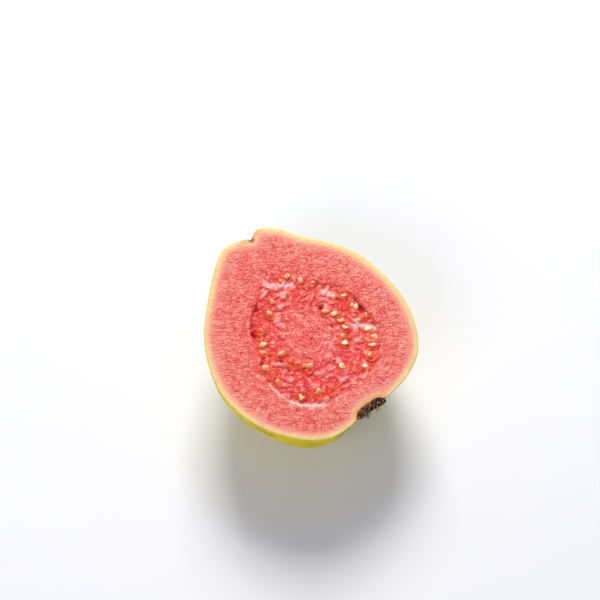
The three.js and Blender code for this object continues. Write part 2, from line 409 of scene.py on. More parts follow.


# The lumps of pulp round the seeds and the swirl in the middle: how far they rise, and how pale they are,
# paler where they stand high, as painted light on their tops and painted shade in their creases.
def pulpRise(x, y, edge, inside):
    warpX = x + relief["warp"] * wave(x, y, relief["warpSize"], 20)
    warpY = y + relief["warp"] * wave(x, y, relief["warpSize"], 30)
    seedZone = smooth(edge, *relief["seedZone"]) * smooth(edge, *relief["seedZoneEnd"])
    lumps = sum(height * abs(wave(warpX, warpY, size, layer)) for height, size, layer in relief["lumps"])
    lumpHeightAndShade = seedZone * (lumps - relief["lumpLevel"])
    rise = relief["lumpRise"] * lumpHeightAndShade + inside * waves([relief["grain"]], x, y)
    core = 1 - smooth(edge, *relief["core"])
    swirl = math.sin(relief["swirlTurns"] * edge + waves([relief["swirlBend"]], x, y))
    puff = abs(wave(warpX, warpY, *relief["puff"])) - relief["puffLevel"]
    rise += core * (relief["swirlRise"] * swirl + relief["puffRise"] * puff)
    return rise, lumpHeightAndShade + core * (relief["swirlPale"] * swirl + relief["puffPale"] * puff)


# The height of the cut face over the knife's plane, with what its colour goes by: how near a seed is,
# how much of a pale strand it is, and how high it stands in the lumpy pulp, for painted light on the tops
# of the lumps and painted shade in their creases.
def faceHeight(x, y, rimDepth):
    ring, angle = bedPlace(x, y)
    circle = Vector((math.cos(angle), math.sin(angle), 3.7))
    edge = ring - wallShift(angle) + waves([relief["wallRough"]], x, y)
    edge += sum(rise * noise.noise(circle * often) for rise, often in relief["wallBends"])
    height = waves(relief["waves"], x, y) - relief["rimFall"] * math.exp(-rimDepth / relief["rimFallWidth"])
    if edge >= relief["bedEnd"]:
        return height, seeds["farGap"], 0, 0
    level, spread, often = relief["crevice"]
    shareOpen = fineChannelShare(angle) * (level + spread * noise.noise(circle * often))
    height -= floorDepth(bed["fineFloor"], edge, min(1, max(0, shareOpen)))
    inside = smooth(1 - edge, 0, bed["swellFade"])
    lumpRise, lumpHeightAndShade = pulpRise(x, y, edge, inside)
    strand, strandRise = strandAt(x, y)
    pulpCollar, seedGap = collarRise(x, y)
    height += inside * swell(x, y) + lumpRise - pitDepth(x, y) + strandRise + pulpCollar
    if edge < relief["wall"]:
        height = min(height, relief["highest"])
    return height, seedGap, strand, lumpHeightAndShade


# The cut face is a square grid spread into rings, and the skin a grid of rings from end to end.
def squareRing(x, y):
    r = max(abs(x), abs(y))
    if r < 1e-9:
        return 0, 0
    if x >= abs(y) and y < r:
        return r, (y / r + 1) / 8
    if y >= abs(x) and x > -r:
        return r, 0.25 + (1 - x / r) / 8
    if x <= -abs(y) and y > -r:
        return r, 0.5 + (1 - y / r) / 8
    return r, 0.75 + (x / r + 1) / 8


def rimAt(share):
    place = share * len(rim)
    nearest = round(place)
    if abs(place - nearest) < 1e-4:
        return rim[nearest % len(rim)].copy()
    i = math.floor(place)
    return rim[i % len(rim)].lerp(rim[(i + 1) % len(rim)], place - i)


def ringShare(r, edge):
    wallRing = fruit["wallRing"]
    if r < wallRing:
        s = r / wallRing
        return s + fruit["ringEase"] * math.sin(math.pi * s)
    s = (r - wallRing) / (1 - wallRing)
    return 1 + (edge - 1) * (s - fruit["ringEase"] * math.sin(2 * math.pi * s))


def gridVerts(bm, across, along, size):
    return bmesh.ops.create_grid(bm, x_segments=across, y_segments=along, size=size)["verts"]


def spreadFace(bm, layers):
    middle, spread = fruit["bandShift"]
    for vert in gridVerts(bm, fruit["faceCells"], fruit["faceCells"], 1):
        r, q = squareRing(vert.co.x, vert.co.y)
        end = rimAt(q)
        edge = bedPlace(*end)[0]
        share = 1 if r > 1 - 1e-6 else ringShare(r, edge) / edge
        place = bedCentre.lerp(end, share)
        rimDepth = 0 if share == 1 else rimTree.find((*place, 0))[2]
        height, seedGap, strand, lumpHeightAndShade = faceHeight(place.x, place.y, rimDepth)
        ring, angle = bedPlace(*place)
        vert.co = Vector((*place, fruit["cutHeight"] + height))
        vert[layers["rimDepth"]] = rimDepth
        vert[layers["bedRing"]] = ring
        vert[layers["sunk"]] = -height
        vert[layers["seedGap"]] = seedGap
        vert[layers["strand"]] = strand
        vert[layers["lumpHeightAndShade"]] = lumpHeightAndShade
        vert[layers["blossomGap"]] = (place - blossomPole.xy).length
        vert[layers["stemGap"]] = (place - stemPole.xy).length
        outward = Vector((*(place - bedCentre).normalized(), 2.2))
        vert[layers["bandShift"]] = middle + spread * noise.noise(outward * fruit["bandWander"])
        far = (place - bedCentre).length / fruit["rayUnit"]
        vert[layers["ray"]] = Vector((math.cos(angle), math.sin(angle), far))


def leanAt(along, turn):
    if along < 0.5:
        return -fruit["blossomDome"] * (1 - 2 * along) ** 2.5 * (1 + fruit["blossomTilt"] * math.cos(turn))
    return fruit["stemDome"] * (2 * along - 1) ** 2


def skinPoint(i, turn):
    a = leftRim[i]
    b = rightRim[i]
    middle = (a + b) / 2
    reach = (a - b) / 2
    along, spread, share = fruit["belly"]
    onRight = math.cos(turn) < 0
    fuller = share * hump(shares[i], along, spread) * math.sin(turn) if onRight else 0
    place = middle + reach * math.cos(turn) * (1 + fuller)
    depth = reach.length * depthShare * math.sin(turn)
    return Vector((place.x + leanAt(shares[i], turn) * depth, place.y, fruit["cutHeight"] - depth))


def spreadSkin(bm, layers):
    made = gridVerts(bm, fruit["skinTurns"], stations, 1)
    for vert in made:
        i = round((vert.co.y + 1) / 2 * stations)
        turn = math.pi * (vert.co.x + 1) / 2
        place = skinPoint(i, turn)
        onRim = math.sin(turn) < 1e-6
        if onRim:
            side = leftRim[i] if turn < 1 else rightRim[i]
            place = Vector((*side, fruit["cutHeight"] + faceHeight(side.x, side.y, 0)[0]))
        vert.co = place
        vert[layers["rimDepth"]] = 0 if onRim else place.z - fruit["cutHeight"]
    return made


dents = {
    "hollows": [(0.16, 11), (0.07, 4.5)],  # depth and size of the shallow dents all over the skin
    "start": (0.4, 3),  # how far under the face they begin, and where they are whole
    "blossomFolds": (9, 9),  # how many folds run into each end, and how far
    "stemFolds": (8, 11),
    "foldDepth": 0.3,
    "foldPeak": 8,
    "collar": 0.6,  # how far the skin is drawn in round the calyx, and between which distances from it
    "collarReach": (8, 5),
    "middle": 0.05,  # the point that dents are pressed towards, as a share of the length
}


def addDents(made, layers):
    for vert in made:
        x, y, z = vert.co
        away = smooth(fruit["cutHeight"] - z, *dents["start"])
        fromBlossom = (vert.co - blossomPole).length
        fromStem = (vert.co - stemPole).length
        vert[layers["blossomGap"]] = fromBlossom
        vert[layers["stemGap"]] = fromStem
        if away == 0:
            continue
        dent = sum(depth * (1 + noise.noise(vert.co / size)) for depth, size in dents["hollows"])
        for pole, gap, (folds, reach) in (
            (blossomPole, fromBlossom, dents["blossomFolds"]), (stemPole, fromStem, dents["stemFolds"]),
        ):
            turn = math.atan2(z - pole.z, y - pole.y)
            crease = abs(math.sin(folds * turn / 2 + 2 * noise.noise(vert.co / 9)))
            dent += dents["foldDepth"] * (1 - crease) ** 2 * hump(gap, dents["foldPeak"], reach)
        dent += dents["collar"] * smooth(fromBlossom, *dents["collarReach"])
        inward = Vector((fruit["length"] * dents["middle"] - x, -y, fruit["cutHeight"] - z)).normalized()
        vert.co += inward * dent * away


def buildHalf():
    bm = bmesh.new()
    names = ("rimDepth", "bedRing", "sunk", "seedGap", "strand", "lumpHeightAndShade", "bandShift", "blossomGap", "stemGap")
    layers = {name: bm.verts.layers.float.new(name) for name in names}
    layers["ray"] = bm.verts.layers.float_vector.new("ray")
    spreadFace(bm, layers)
    back = spreadSkin(bm, layers)
    addDents(back, layers)
    for vert in back:
        vert.co.z = max(vert.co.z, 0)
        vert[layers["bedRing"]] = 2  # well outside the seed bed
        vert[layers["seedGap"]] = seeds["farGap"]
    for part in {f for vert in back for f in vert.link_faces}:
        part.material_index = 1
    bmesh.ops.scale(bm, vec=(mm, mm, mm), verts=bm.verts)
    bmesh.ops.remove_doubles(bm, verts=bm.verts, dist=1e-6)
    bmesh.ops.recalc_face_normals(bm, faces=bm.faces)
    print("half:", len(bm.faces), "faces,", sum(not e.is_manifold for e in bm.edges), "open edges")
    return makePiece("guavaHalf", bm)


def makePiece(name, bm):
    for part in bm.faces:
        part.smooth = True
    mesh = bpy.data.meshes.new(name)
    bm.to_mesh(mesh)
    bm.free()
    piece = bpy.data.objects.new(name, mesh)
    bpy.context.scene.collection.objects.link(piece)
    return piece


def buildSeeds():
    bm = bmesh.new()
    tone = bm.verts.layers.float.new("seedTone")
    bareAndLit = bm.verts.layers.float.new("seedBareAndLit")
    for seed in seedList:
        made = bmesh.ops.create_icosphere(bm, subdivisions=3, radius=0.5)["verts"]
        facet = lerp(*seeds["facet"], seed["draw"])
        layer = Vector((9 * seed["draw"], 0, 0))
        for vert in made:
            taper = 1 - seeds["taper"] * smooth(vert.co.x, -0.1, 0.5)
            vert.co.y *= taper
            vert.co.z = min(vert.co.z * taper, facet - seeds["facetSlope"] * vert.co.y)
            vert.co *= 1 + seeds["unevenness"] * noise.noise(vert.co * seeds["unevenScale"] + layer)
        scale = [seeds[way] * seed["size"] for way in ("length", "width", "thickness")]
        bmesh.ops.scale(bm, vec=scale, verts=made)
        tilt = Matrix.Rotation(seed["tilt"] * seeds["moreTilt"], 3, "Y")
        turn = Matrix.Rotation(seed["turn"], 3, "Z") @ tilt
        bmesh.ops.rotate(bm, cent=(0, 0, 0), matrix=turn, verts=made)
        overCover = seed["covered"] - seeds["usualCover"]
        for vert in made:
            behind = vert.co.xy.dot(dragAwayFromLight)
            vert[tone] = seed["draw"]
            vert[bareAndLit] = seeds["bareAndLitAbove"] * vert.co.z - seeds["bareAndLitBehind"] * behind - overCover
        sunk = seeds["sunk"] + seeds["sunkUnderPulp"] * seed["covered"]
        bmesh.ops.translate(bm, vec=seed["place"] - up * sunk, verts=made)
    bmesh.ops.scale(bm, vec=(mm, mm, mm), verts=bm.verts)
    print("seeds:", len(seedList), "of them,", len(bm.faces), "faces")
    return makePiece("seeds", bm)


# The dry flower, in millimetres: its place, then the cup from its middle, outside and over the lip, to the
# middle of its floor, as radius and height.
calyx = {
    "x": 40.7,
    "y": 4.2,
    "lean": 3.5,  # degrees
    "cup": [
        (0, -2.45), (2.4, -2.4), (4.2, -2.0), (5.3, -1.25), (5.9, -0.4), (6.15, 0.25), (5.95, 0.6),
        (5.5, 0.55), (5.1, 0.1), (4.5, -0.5), (3.2, -1.1), (1.4, -1.3), (0.95, -0.8), (0.8, -0.2), (0, 0.0),
    ],
    "cupSides": 72,
    "creases": 8.5,
    "creaseStray": 3,
    "wrinkle": 0.176,
    "roughness": (0.096, 0.7),  # height and size of the bumps that push the cup in and out
    "unevenness": (0.14, 0.9),  # and of those that lift and lower its floor
    "sepals": 5,
    "sepalCells": (10, 22),
    "sepalSpine": [(5.8, 0.0), (5.75, 0.5), (4.8, 0.8), (3.2, 0.75), (1.2, 0.4)],
    "baseWidth": 5.8,
    "tipWidth": 0.9,
    "narrowing": 1.3,
    "ragged": 0.16,
    "ribs": (0.1, 3.6),  # height of the ribs along a sepal, and how close they stand
    "crumple": 0.16,
    "bow": 0.12,
    "tipSpread": 0.25,  # how much the tips of the sepals differ in height
    "thickness": 0.4,
    "belowFace": 0.12,  # the cup is cut this far under the knife's plane
}


def buildCup(bm):
    points = [bm.verts.new((r, 0, h)) for r, h in calyx["cup"]]
    edges = [bm.edges.new(pair) for pair in zip(points, points[1:])]
    bmesh.ops.subdivide_edges(bm, edges=edges, cuts=2)
    bmesh.ops.spin(
        bm, geom=list(bm.verts) + list(bm.edges), cent=(0, 0, 0), axis=up, angle=2 * math.pi,
        steps=calyx["cupSides"], use_merge=True,
    )
    bmesh.ops.remove_doubles(bm, verts=bm.verts, dist=0.01)
    rough, roughSize = calyx["roughness"]
    uneven, unevenSize = calyx["unevenness"]
    for vert in bm.verts:
        turn = math.atan2(vert.co.y, vert.co.x)
        crease = abs(math.sin(calyx["creases"] * turn + calyx["creaseStray"] * noise.noise(vert.co / 2.5)))
        out = Vector((vert.co.x, vert.co.y, 0))
        lift = calyx["wrinkle"] * (crease - 0.5) + rough * noise.noise(vert.co / roughSize)
        vert.co += out.normalized() * lift * smooth(out.length, 0.5, 3)
        vert.co.z += uneven * noise.noise(vert.co / unevenSize + up * 5) * smooth(out.length, 6.4, 5)


def buildSepal(bm, turn, n):
    made = gridVerts(bm, *calyx["sepalCells"], 0.5)
    spine = calyx["sepalSpine"]
    ribHeight, ribs = calyx["ribs"]
    for vert in made:
        share = vert.co.y + 0.5
        spot = splinePoint(spine, share)
        run = splinePoint(spine, min(share + 0.02, 1)) - splinePoint(spine, max(share - 0.02, 0))
        run.normalize()
        width = lerp(calyx["baseWidth"], calyx["tipWidth"], share ** calyx["narrowing"])
        ragged = 1 + calyx["ragged"] * noise.noise(Vector((share * 7, n * 3.1, vert.co.x)))
        side = vert.co.x * width * ragged
        ridge = ribHeight * math.cos(side * ribs) * (1 - share)
        ridge += calyx["crumple"] * noise.noise(Vector((side, share * 5, n)))
        bowed = calyx["bow"] * side * side * (1 - share)
        lift = ridge + calyx["tipSpread"] * (draw(n + 40) - 0.5) * share
        vert.co = Vector((side, spot.x + run.y * lift - bowed, spot.y - run.x * lift))
    faces = list(dict.fromkeys(f for v in made for f in v.link_faces))
    bmesh.ops.recalc_face_normals(bm, faces=faces)
    solid = bmesh.ops.solidify(bm, geom=faces, thickness=calyx["thickness"])["geom"]
    verts = list(dict.fromkeys(made + [v for v in solid if isinstance(v, bmesh.types.BMVert)]))
    bmesh.ops.rotate(bm, cent=(0, 0, 0), matrix=Matrix.Rotation(turn, 3, "Z"), verts=verts)


# The dry crumbs in the cut cup, and the threads of the old flower that stand out of it, in millimetres.
dryBits = {
    "crumbs": 150,
    "crumbSize": 1.0,
    "crumbSpread": (0.45, 0.75),  # the least share of that size, and what the draw adds
    "crumbReach": 5.7,
    "crumbDepth": (-0.1, 0.5),  # from a little over the face, and how far down the crumbs spread
    "crumbFloor": (0.3, 2.45, 6.1),  # level of the lip, depth of the cup and its half width
    "crumbTop": 0.75,
    "crumbUneven": 1.1,
    "crumbUnevenSize": 0.35,
    "crumbShape": (0.32, 1.1, 0.7),
    "crumbTone": (0.2, -0.4),  # lightness of the crumbs on the cup's floor and of those at its lip
    "paleCrumbs": 0.8,
    "threads": 90,
    "threadLength": 4.8,
    "threadSpread": (0.5, 0.6),
    "threadWidth": 0.26,
    "threadRing": (0.8, 3.9),  # where the innermost thread is rooted, and how wide their ring is
    "threadRoot": -0.9,
    "threadLean": (0.1, 0.54),  # how far a thread bends inwards, and how much that varies
    "curl": 0.45,
    "thinning": 0.3,
    "knob": 0.9,  # how much the tip swells, and between which shares of the length
    "knobAt": (0.8, 0.92),
    "threadFan": 0.8,
    "threadTone": (-0.1, 1.25),  # tone of the root, and how much lighter the tip is
    "aboveFace": 0.35,  # loose bits may stand this far over the knife's plane
}


def buildCrumb(bm, n, tone):
    across = dryBits["crumbReach"] * (2 * draw(n + 700) - 1)
    lip, depth, halfWidth = dryBits["crumbFloor"]
    floor = lip - depth * math.sqrt(1 - (across / halfWidth) ** 2)
    outward = draw(n + 780)
    shallow, spread = dryBits["crumbDepth"]
    place = Vector((spread * draw(n + 740) + shallow, across, lerp(floor, dryBits["crumbTop"], outward)))
    least, more = dryBits["crumbSpread"]
    size = dryBits["crumbSize"] * (least + more * draw(n + 820))
    pale = dryBits["paleCrumbs"] * draw(n + 860) ** 4 + lerp(*dryBits["crumbTone"], outward)
    made = bmesh.ops.create_icosphere(bm, subdivisions=2, radius=size / 2)["verts"]
    layer = Vector((n, 0, 0))
    for vert in made:
        vert.co *= 1 + dryBits["crumbUneven"] * noise.noise(vert.co / dryBits["crumbUnevenSize"] + layer)
        vert[tone] = pale
    bmesh.ops.scale(bm, vec=dryBits["crumbShape"], verts=made)
    turn = Matrix.Rotation(6 * draw(n + 900), 3, "X") @ Matrix.Rotation(1.6 * draw(n + 940), 3, "Y")
    bmesh.ops.rotate(bm, cent=(0, 0, 0), matrix=turn, verts=made)
    bmesh.ops.translate(bm, vec=place, verts=made)


def buildThread(bm, n, tone):
    turn = math.pi * (draw(n + 60) - 0.5)
    nearest, reach = dryBits["threadRing"]
    start = nearest + reach * math.sqrt(draw(n + 160))
    level, spread = dryBits["threadLean"]
    lean = level + spread * (draw(n + 260) - 0.5)
    least, more = dryBits["threadSpread"]
    length = dryBits["threadLength"] * (least + more * draw(n + 360))
    curled = 6 * draw(n + 460)
    dark, lighter = dryBits["threadTone"]
    made = bmesh.ops.create_uvsphere(bm, u_segments=6, v_segments=10, radius=1)["verts"]
    for vert in made:
        t = 1 - math.acos(max(-1, min(1, vert.co.z))) / math.pi
        bend = t * t
        thick = 1 - dryBits["thinning"] * t + dryBits["knob"] * smooth(t, *dryBits["knobAt"])
        around = Vector((vert.co.x, vert.co.y, 0))
        onAxis = around.length < 1e-4
        around = Vector() if onAxis else around.normalized() * (dryBits["threadWidth"] / 2 * thick)
        curl = dryBits["curl"] * math.sin(3 * t + curled) * t
        rise = dryBits["threadRoot"] + t * length * (1 - 0.25 * bend)
        vert.co = Vector((start - bend * length * lean, curl, rise)) + around
        vert[tone] = lighter * t + dark
    side = 1 if draw(n + 560) > 0.5 else -1
    whole = Matrix.Rotation(side * math.pi / 2 + dryBits["threadFan"] * turn, 3, "Z")
    bmesh.ops.rotate(bm, cent=(0, 0, 0), matrix=whole, verts=made)


# Turns a piece from its own axes to its seat in the socket, whose sides lean back, and cuts it at the face.
def seatCalyx(bm, above):
    for vert in bm.verts:
        vert.co.z += leanAt(0, math.pi / 2) * abs(vert.co.x)
    seat = Matrix.Translation((calyx["x"], calyx["y"], fruit["cutHeight"]))
    seat = seat @ Matrix.Rotation(math.radians(calyx["lean"]), 4, "Z") @ Matrix.Rotation(math.pi / 2, 4, "Y")
    bmesh.ops.transform(bm, matrix=seat, verts=bm.verts)
    cut = bmesh.ops.bisect_plane(
        bm, geom=list(bm.verts) + list(bm.edges) + list(bm.faces), dist=1e-5,
        plane_co=(0, 0, fruit["cutHeight"] + above), plane_no=up, clear_outer=True,
    )["geom_cut"]
    edges = [e for e in cut if isinstance(e, bmesh.types.BMEdge)]
    capped = bmesh.ops.edgenet_fill(bm, edges=edges)["faces"]
    bmesh.ops.triangulate(bm, faces=capped)
    bmesh.ops.scale(bm, vec=(mm, mm, mm), verts=bm.verts)
    bmesh.ops.recalc_face_normals(bm, faces=bm.faces)


def buildCalyx():
    bm = bmesh.new()
    buildCup(bm)
    for k in range(calyx["sepals"]):
        buildSepal(bm, 2 * math.pi * k / calyx["sepals"], k)
    seatCalyx(bm, -calyx["belowFace"])
    print("calyx:", len(bm.faces), "faces")
    return makePiece("driedCalyx", bm)


def buildThreads():
    bm = bmesh.new()
    tone = bm.verts.layers.float.new("dryTone")
    for n in range(dryBits["crumbs"]):
        buildCrumb(bm, n, tone)
    for n in range(dryBits["threads"]):
        buildThread(bm, n, tone)
    seatCalyx(bm, dryBits["aboveFace"])
    print("crumbs and threads:", len(bm.faces), "faces")
    return makePiece("driedThreads", bm)


def colour(r, g, b):
    def linear(c):
        c /= 255
        return c / 12.92 if c <= 0.04045 else ((c + 0.055) / 1.055) ** 2.4

    return (linear(r), linear(g), linear(b), 1)


# Each input is given a value, or linked when it is given another node's output.
def setInputs(tree, node, inputs):
    for key, value in inputs.items():
        if isinstance(value, bpy.types.NodeSocket):
            tree.links.new(value, node.inputs[key])
        else:
            node.inputs[key].default_value = value


def addNode(tree, kind, inputs, **settings):
    made = tree.nodes.new(kind)
    for key, value in settings.items():
        setattr(made, key, value)
    setInputs(tree, made, inputs)
    return made


def attribute(tree, name, socket="Fac"):
    return addNode(tree, "ShaderNodeAttribute", {}, attribute_name=name).outputs[socket]


def objectPlace(tree):
    return addNode(tree, "ShaderNodeTexCoord", {}).outputs["Object"]


def cloud(tree, vector, scale, detail, roughness=0.5, distortion=0.0):
    return addNode(tree, "ShaderNodeTexNoise", {
        "Vector": vector, "Scale": scale, "Detail": detail, "Roughness": roughness, "Distortion": distortion,
    }).outputs["Fac"]


def cells(tree, vector, scale, feature="F1", output="Distance"):
    made = addNode(tree, "ShaderNodeTexVoronoi", {"Vector": vector, "Scale": scale}, feature=feature)
    return made.outputs[output]


def stretch(tree, vector, scale):
    return addNode(tree, "ShaderNodeMapping", {"Vector": vector, "Scale": scale}).outputs["Vector"]


def calc(tree, operation, a, b, clamp=False):
    return addNode(tree, "ShaderNodeMath", {0: a, 1: b}, operation=operation, use_clamp=clamp).outputs[0]


# The sum of some tones, each with its weight.
def mixTones(tree, *parts):
    total = 0.0
    for value, weight in parts:
        inputs = {0: value, 1: weight, 2: total}
        total = addNode(tree, "ShaderNodeMath", inputs, operation="MULTIPLY_ADD").outputs[0]
    return total


# Goes smoothly from low to high while the value goes from start to stop, which may run backwards.
def fade(tree, value, start, stop, low=0.0, high=1.0):
    inputs = {"Value": value, "From Min": start, "From Max": stop, "To Min": low, "To Max": high}
    return addNode(tree, "ShaderNodeMapRange", inputs, interpolation_type="SMOOTHSTEP").outputs["Result"]


def blend(tree, share, a, b):
    return addNode(tree, "ShaderNodeMix", {0: share, 6: a, 7: b}, data_type="RGBA").outputs[2]


def ramp(tree, value, stops):
    made = addNode(tree, "ShaderNodeValToRGB", {"Fac": value})
    points = made.color_ramp.elements
    while len(points) < len(stops):
        points.new(0.5)
    for point, (place, tint) in zip(points, stops):
        point.position = place
        point.color = tint
    return made.outputs["Color"]


def bump(tree, height, distance, strength):
    inputs = {"Height": height, "Distance": distance, "Strength": strength}
    return addNode(tree, "ShaderNodeBump", inputs).outputs["Normal"]


def newMaterial(name):
    made = bpy.data.materials.new(name)
    made.use_nodes = True
    tree = made.node_tree
    tree.nodes.clear()
    out = tree.nodes.new("ShaderNodeOutputMaterial")
    shader = tree.nodes.new("ShaderNodeBsdfPrincipled")
    tree.links.new(shader.outputs[0], out.inputs[0])
    return made, tree, shader


flesh = {
    "deep": colour(218, 60, 56),
    "pink": colour(252, 114, 100),
    "light": colour(255, 169, 150),
    "grain": colour(255, 204, 188),
    # the pulp's tones, which the lumps' height spreads into painted light on top and painted shade in the
    # creases
    "pulpDeep": colour(226, 40, 44),
    "pulp": colour(250, 82, 74),
    "pulpLight": colour(255, 146, 132),
    "glint": colour(255, 200, 190),
    # painted shade: the dark red that the crevices and pits take by how deep they lie
    "crevice": colour(204, 18, 34),
    "smear": colour(232, 56, 58),
    # the orange of the jelly round the seeds, with painted glow on their side away from the light
    "seedJellyAndGlow": colour(242, 78, 26),
    "strand": colour(255, 214, 204),
    "skinLine": colour(206, 196, 60),
    "yellow": colour(242, 218, 122),
    "cream": colour(245, 206, 150),
    "blush": colour(252, 164, 138),
    "socket": colour(242, 152, 94),
    "scar": colour(92, 42, 18),
    "broadScale": 130,  # how many clouds of each size there are to a metre
    "midScale": 520,
    "fineScale": 1700,
    "fibreStretch": (34, 34, 1.2),  # thin fibres that run out from the middle
    "smearStretch": (2.6, 2.6, 9),
    "stoneScale": 1500,
    "knifeAngle": 57,  # the knife marks run this many degrees round from the fruit's length
    "knifeStretch": (3.0, 0.72, 1),
    "markScale": 1300,
    "bandStart": 1.85,
    "bandWidth": 5.4,  # millimetres from the skin to plain flesh
}


def fleshMaterial():
    made, tree, shader = newMaterial("moistFlesh")
    place = objectPlace(tree)
    ray = attribute(tree, "ray", "Vector")
    names = ("rimDepth", "blossomGap", "stemGap", "bedRing", "sunk", "seedGap", "lumpHeightAndShade", "strand", "bandShift")
    rimDepth, blossomGap, stemGap, ring, sunk, seedGap, lumpHeightAndShade, strand, bandShift = (
        attribute(tree, name) for name in names
    )
    broad = cloud(tree, place, flesh["broadScale"], 3, 0.55, 0.5)
    mid = cloud(tree, place, flesh["midScale"], 4, 0.62, 0.6)
    fine = cloud(tree, place, flesh["fineScale"], 3, 0.7)
    fibres = cloud(tree, stretch(tree, ray, flesh["fibreStretch"]), 1.0, 3, 0.6)
    smears = cloud(tree, stretch(tree, ray, flesh["smearStretch"]), 1.0, 3, 0.6, 0.5)
    stones = cells(tree, place, flesh["stoneScale"])
    stoneTone = cells(tree, place, flesh["stoneScale"], output="Color")
    stoneEdge = cells(tree, place, flesh["stoneScale"], "DISTANCE_TO_EDGE")

    # plain flesh with knife marks, and the redder pulp of the bed with painted light on its lumps and painted
    # shade in its creases
    knife = math.radians(flesh["knifeAngle"])
    turned = {"Vector": place, "Rotation": (0, 0, knife), "Scale": flesh["knifeStretch"]}
    alongKnife = addNode(tree, "ShaderNodeMapping", turned, vector_type="TEXTURE").outputs["Vector"]
    marks = cloud(tree, alongKnife, flesh["markScale"], 2, 0.6, 0.3)
    tone = mixTones(tree, (broad, 0.06), (mid, 0.2), (fine, 0.36), (marks, 0.38))
    outer = ramp(tree, tone, [(0.43, flesh["deep"]), (0.495, flesh["pink"]), (0.565, flesh["light"])])
    wet = mixTones(tree, (tone, 1.0), (lumpHeightAndShade, 0.26))
    inner = ramp(tree, wet, [(0.36, flesh["pulpDeep"]), (0.5, flesh["pulp"]), (0.66, flesh["pulpLight"])])
    inBed = fade(tree, mixTones(tree, (ring, 1.0), (mid, 0.14)), 1.1, 1.0)
    tint = blend(tree, inBed, outer, inner)
    core = fade(tree, ring, 0.55, 0.3, 0, 0.45)
    tint = blend(tree, core, tint, outer)
    smeared = calc(tree, "MULTIPLY", fade(tree, smears, 0.54, 0.68, 0, 0.65), fade(tree, ring, 0.95, 1.05))
    tint = blend(tree, smeared, tint, flesh["smear"])

    # pale stone cells and the dark seams between them
    stoneShare = calc(tree, "MULTIPLY", fade(tree, stones, 0.42, 0.12), fade(tree, stoneTone, 0.5, 0.75))
    stoneShare = calc(tree, "MULTIPLY", stoneShare, fade(tree, ring, 0.7, 1.1, 0.3, 0.6))
    tint = blend(tree, stoneShare, tint, flesh["grain"])
    tint = blend(tree, fade(tree, stoneEdge, 0.14, 0.0, 0, 0.35), tint, flesh["deep"])

    # painted wet glints on the lumps' tops, the jelly's orange round the seeds with a painted glow on their
    # side away from the light, painted shade in the crevices by how deep they are sunk, and the pale ridges
    glinting = fade(tree, mixTones(tree, (lumpHeightAndShade, 0.8), (fine, 1.6)), 0.9, 1.5, 0, 0.5)
    tint = blend(tree, calc(tree, "MULTIPLY", glinting, inBed), tint, flesh["glint"])
    # the jelly's orange round each seed, moved to its side away from the light as a painted glow
    near = fade(tree, mixTones(tree, (seedGap, 1.0), (mid, 3.0), (broad, 2.0)), 4.2, 2.2, 0, 0.8)
    tint = blend(tree, near, tint, flesh["seedJellyAndGlow"])
    # painted shade: darker red the deeper the face is sunk, in the crevices and pits
    tint = blend(tree, fade(tree, sunk, 0.7, 1.7, 0, 0.8), tint, flesh["crevice"])
    ridge = calc(tree, "MULTIPLY", strand, fade(tree, fine, 0.36, 0.58, 0.5, 1.0))
    tint = blend(tree, ridge, tint, flesh["strand"])

    # pale fibres near the rim, and the band of yellow and cream under the skin
    pale = calc(tree, "MULTIPLY", fade(tree, fibres, 0.46, 0.66, 0, 0.32), fade(tree, rimDepth, 12, 4))
    tint = blend(tree, pale, tint, flesh["grain"])
    edge = mixTones(tree, (rimDepth, 1.0), (mid, 1.3), (fibres, 1.4), (smears, 1.0), (bandShift, 1.0))
    edge = calc(tree, "DIVIDE", calc(tree, "SUBTRACT", edge, flesh["bandStart"]), flesh["bandWidth"], True)
    edgeTint = ramp(tree, edge, [
        (0.0, flesh["skinLine"]), (0.05, flesh["yellow"]), (0.26, flesh["cream"]), (0.58, flesh["blush"]),
    ])
    tint = blend(tree, fade(tree, edge, 0.95, 0.3), tint, edgeTint)

    # stains at both ends, and the dark scar of the stem
    onEdge = fade(tree, rimDepth, 2.6, 0.6)
    browned = calc(tree, "MULTIPLY", fade(tree, blossomGap, 9.5, 6.5, 0, 0.8), onEdge)
    tint = blend(tree, browned, tint, flesh["socket"])
    stained = calc(tree, "MULTIPLY", fade(tree, stemGap, 7, 3.5, 0, 0.6), onEdge)
    tint = blend(tree, stained, tint, flesh["socket"])
    scarred = fade(tree, mixTones(tree, (stemGap, 1.0), (mid, 1.6)), 2.5, 1.4, 0, 0.85)
    tint = blend(tree, scarred, tint, flesh["scar"])

    rough = mixTones(tree, (fine, 0.3), (stones, 0.12))
    height = mixTones(tree, (fine, 0.5), (mid, 0.45), (stones, -0.6))
    height = calc(tree, "MULTIPLY", height, fade(tree, rimDepth, 0.5, 4, 0.6, 1))
    setInputs(tree, shader, {
        "Base Color": tint,
        "Roughness": calc(tree, "ADD", rough, 0.2),
        "Normal": bump(tree, height, 0.0005, 0.9),
        "IOR": 1.37,
        "Subsurface Weight": 0.3,
        "Subsurface Radius": (0.0018, 0.0006, 0.0004),
        "Subsurface Scale": 1.0,
        "Coat Weight": 0.34,
        "Coat Roughness": 0.14,
        "Coat IOR": 1.33,
    })
    return made


skin = {
    "sunSide": (28, -18, 8),  # the way the riper side faces, and how fast it ripens for each metre
    "broadScale": 42,
    "midScale": 230,
    "fineScale": 1100,
    "patchScale": 34,
    "dotScale": 520,
    "scuffScale": 110,
    "dark": colour(122, 130, 2),
    "green": colour(158, 168, 6),
    "light": colour(188, 188, 52),
    "pale": colour(206, 208, 116),
    "olive": colour(184, 172, 4),
    "ochre": colour(222, 198, 8),
    "yellow": colour(244, 216, 4),
    "fleck": colour(212, 214, 130),
    "scuff": colour(118, 92, 44),
    "scar": colour(66, 40, 22),
}


